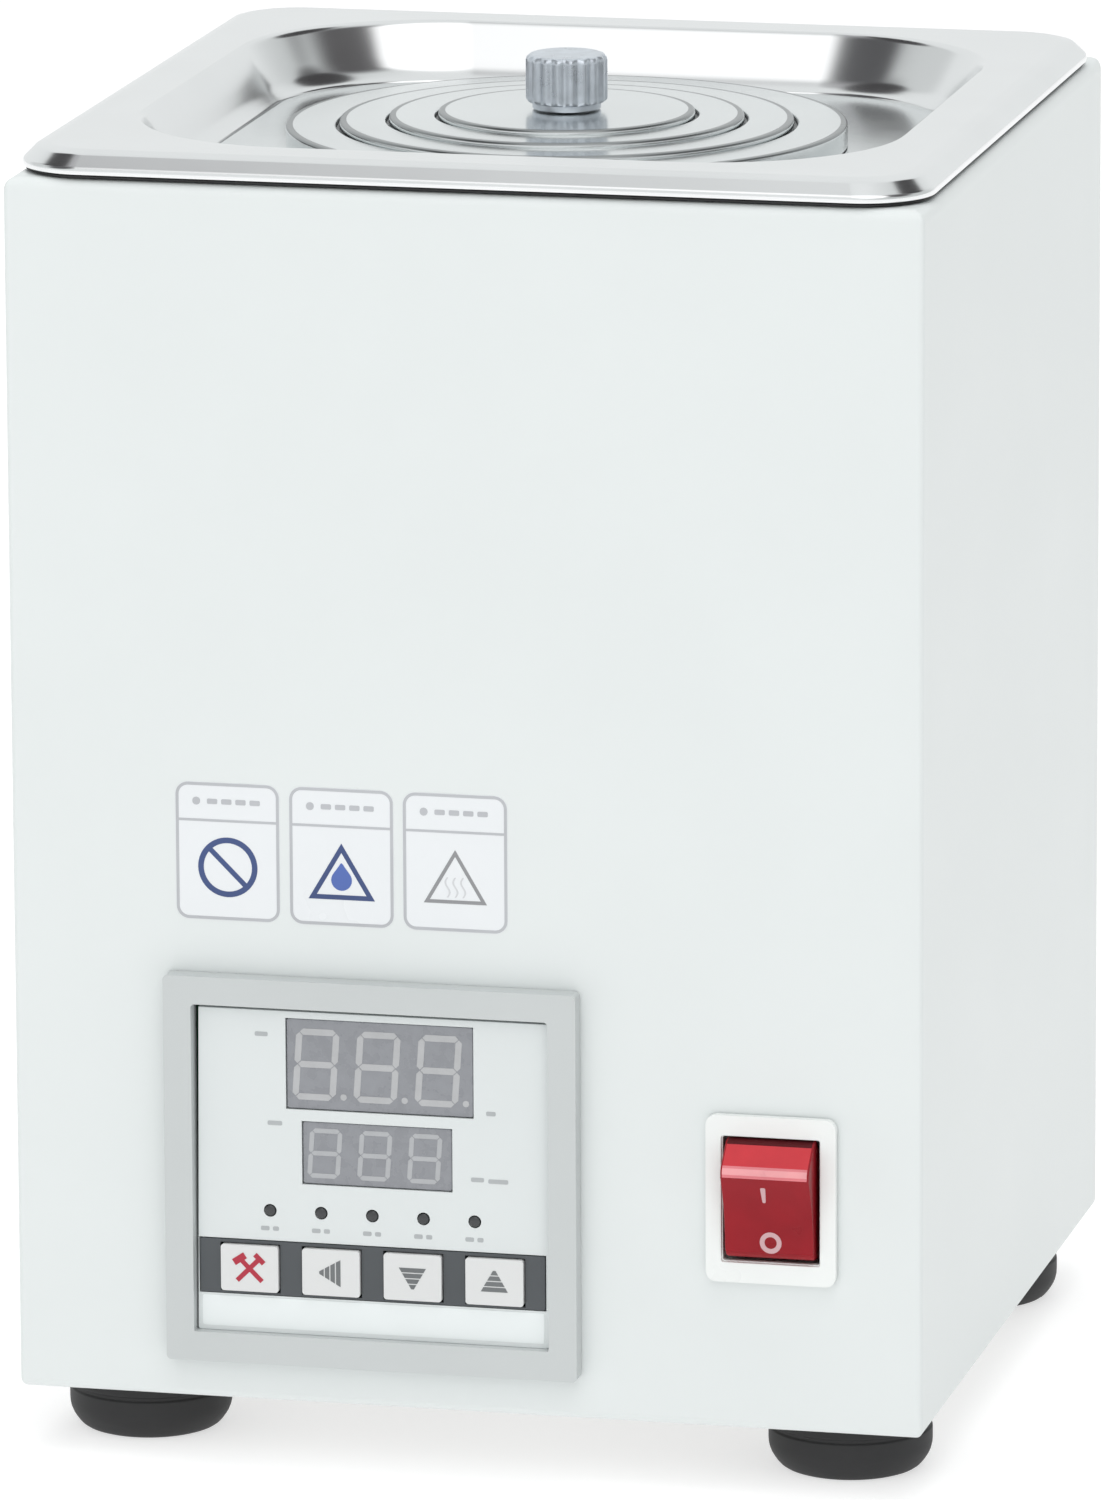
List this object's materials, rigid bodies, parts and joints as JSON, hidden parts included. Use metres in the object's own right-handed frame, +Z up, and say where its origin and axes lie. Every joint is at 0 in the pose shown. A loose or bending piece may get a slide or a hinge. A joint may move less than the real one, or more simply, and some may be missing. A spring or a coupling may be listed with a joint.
{
  "type": "paraffin wax bath",
  "caption": "Square cabinet paraffin wax bath with a stainless tank, a cover plate, nesting ring lids and a knob, a temperature controller and a rocker switch.",
  "frame": {"origin": "middle of the object's box, on the surface that its feet stand on", "axes": "+Z up, -Y towards the controller's side, +X to the right as seen from the front"},
  "size_m": [0.21, 0.2252, 0.3097],
  "materials": {
    "powder_coat": "white powder coat with a fine orange-peel texture",
    "stainless": "deep-drawn stainless steel, near mirror polish",
    "zinc_steel": "bright zinc plate",
    "black_rubber": "moulded black rubber",
    "grey_knob": "grey-blue anodised, fluted",
    "light_plastic": "satin light grey moulding",
    "dark_plastic": "satin dark grey moulding",
    "white_plastic": "satin white moulding",
    "red_plastic": "glossy red moulding",
    "display_window": "smoked grey window, unlit",
    "lamp_lens": "smoked lens, unlit",
    "board": "green laminate",
    "mineral_wool": "fibrous wool blanket",
    "mica_heater": "mica-faced aluminium plate",
    "brass": "plain brass"
  },
  "bodies": {
    "housing": {"cabinet_shell": "powder_coat", "rear_panel": "powder_coat", "tank": "stainless", "temperature_probe": "stainless", "base_plate": "zinc_steel", "heater_clamp": "zinc_steel", "heater_nut": "zinc_steel", "probe_clip": "zinc_steel", "controller_clamp_left": "zinc_steel", "controller_clamp_right": "zinc_steel", "foot_screw_front_left": "zinc_steel", "foot_screw_front_right": "zinc_steel", "foot_screw_rear_left": "zinc_steel", "foot_screw_rear_right": "zinc_steel", "rear_screw_1": "zinc_steel", "rear_screw_2": "zinc_steel", "rear_screw_3": "zinc_steel", "rear_screw_4": "zinc_steel", "inlet_screw_1": "zinc_steel", "inlet_screw_2": "zinc_steel", "tank_gasket": "black_rubber", "foot_front_left": "black_rubber", "foot_front_right": "black_rubber", "foot_rear_left": "black_rubber", "foot_rear_right": "black_rubber", "controller_frame": "light_plastic", "controller_face": "light_plastic", "button_strip": "dark_plastic", "controller_housing": "dark_plastic", "terminal_block": "dark_plastic", "thermal_cutout": "dark_plastic", "inlet_body": "dark_plastic", "switch_body": "white_plastic", "pv_display": "display_window", "sv_display": "display_window", "indicator_lamp_1": "lamp_lens", "indicator_lamp_2": "lamp_lens", "indicator_lamp_3": "lamp_lens", "indicator_lamp_4": "lamp_lens", "indicator_lamp_5": "lamp_lens", "controller_board": "board", "insulation_jacket": "mineral_wool", "heater_plate": "mica_heater", "inlet_pin_earth": "brass", "inlet_pin_line": "brass", "inlet_pin_neutral": "brass"},
    "cover_plate_body": {"cover_plate": "stainless"},
    "ring_outer_body": {"ring_outer": "stainless"},
    "ring_middle_body": {"ring_middle": "stainless"},
    "ring_inner_body": {"ring_inner": "stainless"},
    "centre_lid_body": {"centre_lid": "stainless", "lid_knob": "grey_knob", "knob_screw": "zinc_steel"},
    "shelf_body": {"perforated_shelf": "stainless"},
    "rocker_body": {"switch_rocker": "red_plastic"},
    "set_button_body": {"set_button": "white_plastic"},
    "left_button_body": {"left_button": "white_plastic"},
    "down_button_body": {"down_button": "white_plastic"},
    "up_button_body": {"up_button": "white_plastic"},
    "fuse_drawer_body": {"fuse_drawer": "dark_plastic"}
  },
  "joints": [
    {"name": "cover_plate_lift", "type": "slide", "parent": "housing", "child": "cover_plate_body", "axis": [0, 0, 1], "range_m": [0, 0.06]},
    {"name": "ring_outer_lift", "type": "slide", "parent": "cover_plate_body", "child": "ring_outer_body", "axis": [0, 0, 1], "range_m": [0, 0.04]},
    {"name": "ring_middle_lift", "type": "slide", "parent": "ring_outer_body", "child": "ring_middle_body", "axis": [0, 0, 1], "range_m": [0, 0.03]},
    {"name": "ring_inner_lift", "type": "slide", "parent": "ring_middle_body", "child": "ring_inner_body", "axis": [0, 0, 1], "range_m": [0, 0.03]},
    {"name": "centre_lid_lift", "type": "slide", "parent": "ring_inner_body", "child": "centre_lid_body", "axis": [0, 0, 1], "range_m": [0, 0.04]},
    {"name": "shelf_lift", "type": "slide", "parent": "housing", "child": "shelf_body", "axis": [0, 0, 1], "range_m": [0, 0.095]},
    {"name": "rocker_tilt", "type": "hinge", "parent": "housing", "child": "rocker_body", "pos_m": [0.0708, -0.1026, 0.0694], "axis": [-1, 0, 0], "range_deg": [0, 32]},
    {"name": "set_button_press", "type": "slide", "parent": "housing", "child": "set_button_body", "axis": [0, 1, 0], "range_m": [0, 0.0006], "stiffness_N_per_m": 400},
    {"name": "left_button_press", "type": "slide", "parent": "housing", "child": "left_button_body", "axis": [0, 1, 0], "range_m": [0, 0.0006], "stiffness_N_per_m": 400},
    {"name": "down_button_press", "type": "slide", "parent": "housing", "child": "down_button_body", "axis": [0, 1, 0], "range_m": [0, 0.0006], "stiffness_N_per_m": 400},
    {"name": "up_button_press", "type": "slide", "parent": "housing", "child": "up_button_body", "axis": [0, 1, 0], "range_m": [0, 0.0006], "stiffness_N_per_m": 400},
    {"name": "fuse_drawer_pull", "type": "slide", "parent": "housing", "child": "fuse_drawer_body", "axis": [0, 1, 0], "range_m": [0, 0.02]}
  ]
}
